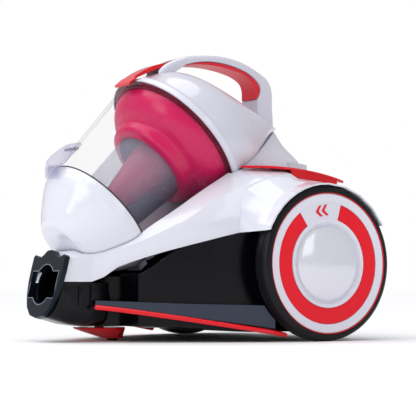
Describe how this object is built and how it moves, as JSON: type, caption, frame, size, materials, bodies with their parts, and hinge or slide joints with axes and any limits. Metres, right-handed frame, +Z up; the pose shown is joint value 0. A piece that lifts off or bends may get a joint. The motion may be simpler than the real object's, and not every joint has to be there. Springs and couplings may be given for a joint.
{
  "type": "canister vacuum cleaner",
  "caption": "Bagless canister vacuum cleaner with a tilted clear cyclone cup, arched carry handle, large side wheels, front caster and shield-shaped hose inlet.",
  "frame": {"origin": "on the floor under the middle of the overall box", "axes": "+Z up, -Y towards the hose inlet at the front, +X to the side with the power pedal"},
  "size_m": [0.29, 0.3412, 0.305],
  "materials": {
    "tyre": "matte rubber",
    "satin_white": "satin",
    "red_satin": "satin",
    "red_gloss": "gloss",
    "pearl_silver": "pearl gloss",
    "steel": "bright",
    "slate": "satin",
    "navy_black": "gloss",
    "black_gloss": "gloss",
    "black_matte": "matte",
    "white_gloss": "gloss",
    "pale_grey": "gloss",
    "soft_black": "soft",
    "board_green": "matte",
    "filter_white": "pleated",
    "clear_tint": "clear gloss",
    "clear_plain": "clear gloss",
    "cyclone_red": "gloss",
    "mesh_grey": "fine mesh",
    "dark_red_seal": "soft",
    "red_soft": "soft touch"
  },
  "bodies": {
    "chassis": {"axle_right": "steel", "skirt_right": "slate", "trim_strip_right": "red_gloss", "axle_left": "steel", "skirt_left": "slate", "trim_strip_left": "red_gloss", "axle_clips": "steel", "inlet_bezel": "navy_black", "inlet_housing": "black_gloss", "tower": "black_gloss", "suction_duct": "black_matte", "base_tub": "black_gloss", "upper_shell": "white_gloss", "rear_cover": "pale_grey", "cup_cradle": "pale_grey", "motor_can": "steel", "motor_mount": "soft_black", "fan_shroud": "black_matte", "outlet_duct": "black_matte", "reel_bracket": "black_matte", "power_switch": "black_matte", "circuit_board": "board_green", "exhaust_filter": "filter_white", "exhaust_grille": "black_gloss", "cord_gland": "soft_black"},
    "cup_assembly": {"cup": "clear_tint", "cup_lid": "white_gloss", "cup_gasket": "soft_black", "lid_hinge": "white_gloss", "latch_pin": "steel", "cyclone_drum": "red_gloss", "cyclone_top": "red_gloss", "cyclone_cone": "cyclone_red", "cyclone_mesh": "mesh_grey", "cyclone_foot": "black_matte", "rim_seal": "dark_red_seal", "pre_filter": "filter_white", "cup_cover": "pale_grey", "button_pin": "steel", "handle": "pale_grey", "handle_grip": "red_soft"},
    "latch": {"lid_latch": "clear_plain"},
    "button": {"release_button": "red_gloss"},
    "wheel_right": {"tyre_right": "tyre", "rim_right": "satin_white", "inset_right": "red_satin", "trim_ring_right": "red_gloss", "hub_cap_right": "pearl_silver"},
    "wheel_left": {"tyre_left": "tyre", "rim_left": "satin_white", "inset_left": "red_satin", "trim_ring_left": "red_gloss", "hub_cap_left": "pearl_silver"},
    "pedal_right": {"pedal_power": "red_gloss"},
    "pedal_left": {"pedal_rewind": "red_gloss"},
    "caster": {"caster_turntable": "red_gloss", "caster_pin": "steel"},
    "caster_roller": {"caster_wheel": "black_matte"},
    "fan": {"impeller": "black_matte"},
    "reel": {"reel_drum": "black_matte"}
  },
  "joints": [
    {"name": "wheel_right_spin", "type": "hinge", "parent": "chassis", "child": "wheel_right", "pos_m": [0.13, 0.0905, 0.0795], "axis": [1, 0, 0], "continuous": true},
    {"name": "wheel_left_spin", "type": "hinge", "parent": "chassis", "child": "wheel_left", "pos_m": [-0.13, 0.0905, 0.0795], "axis": [1, 0, 0], "continuous": true},
    {"name": "caster_swivel", "type": "hinge", "parent": "chassis", "child": "caster", "pos_m": [0, -0.098, 0.012], "axis": [0, 0, 1], "continuous": true},
    {"name": "caster_roll", "type": "hinge", "parent": "caster", "child": "caster_roller", "pos_m": [0, -0.082, 0.0062], "axis": [1, 0, 0], "continuous": true},
    {"name": "pedal_power_press", "type": "hinge", "parent": "chassis", "child": "pedal_right", "pos_m": [0.088, 0.04, 0.176], "axis": [-1, 0, 0], "range_deg": [0, 2], "stiffness_Nm_per_rad": 12},
    {"name": "pedal_rewind_press", "type": "hinge", "parent": "chassis", "child": "pedal_left", "pos_m": [-0.088, 0.04, 0.176], "axis": [-1, 0, 0], "range_deg": [0, 2], "stiffness_Nm_per_rad": 12},
    {"name": "cup_lift", "type": "slide", "parent": "chassis", "child": "cup_assembly", "axis": [0, -0.6587, 0.7524], "range_m": [0, 0.2]},
    {"name": "latch_lift", "type": "hinge", "parent": "cup_assembly", "child": "latch", "pos_m": [0, -0.131, 0.196], "axis": [-1, 0, 0], "range_deg": [0, 7], "stiffness_Nm_per_rad": 0.4},
    {"name": "button_press", "type": "hinge", "parent": "cup_assembly", "child": "button", "pos_m": [0, -0.01182, 0.2929], "axis": [1, 0, 0], "range_deg": [0, 1], "stiffness_Nm_per_rad": 1.5},
    {"name": "fan_spin", "type": "hinge", "parent": "chassis", "child": "fan", "pos_m": [0.03, 0.084, 0.1], "axis": [0, 0, 1], "continuous": true},
    {"name": "reel_spin", "type": "hinge", "parent": "chassis", "child": "reel", "pos_m": [-0.062, 0.092, 0.086], "axis": [1, 0, 0], "continuous": true}
  ]
}
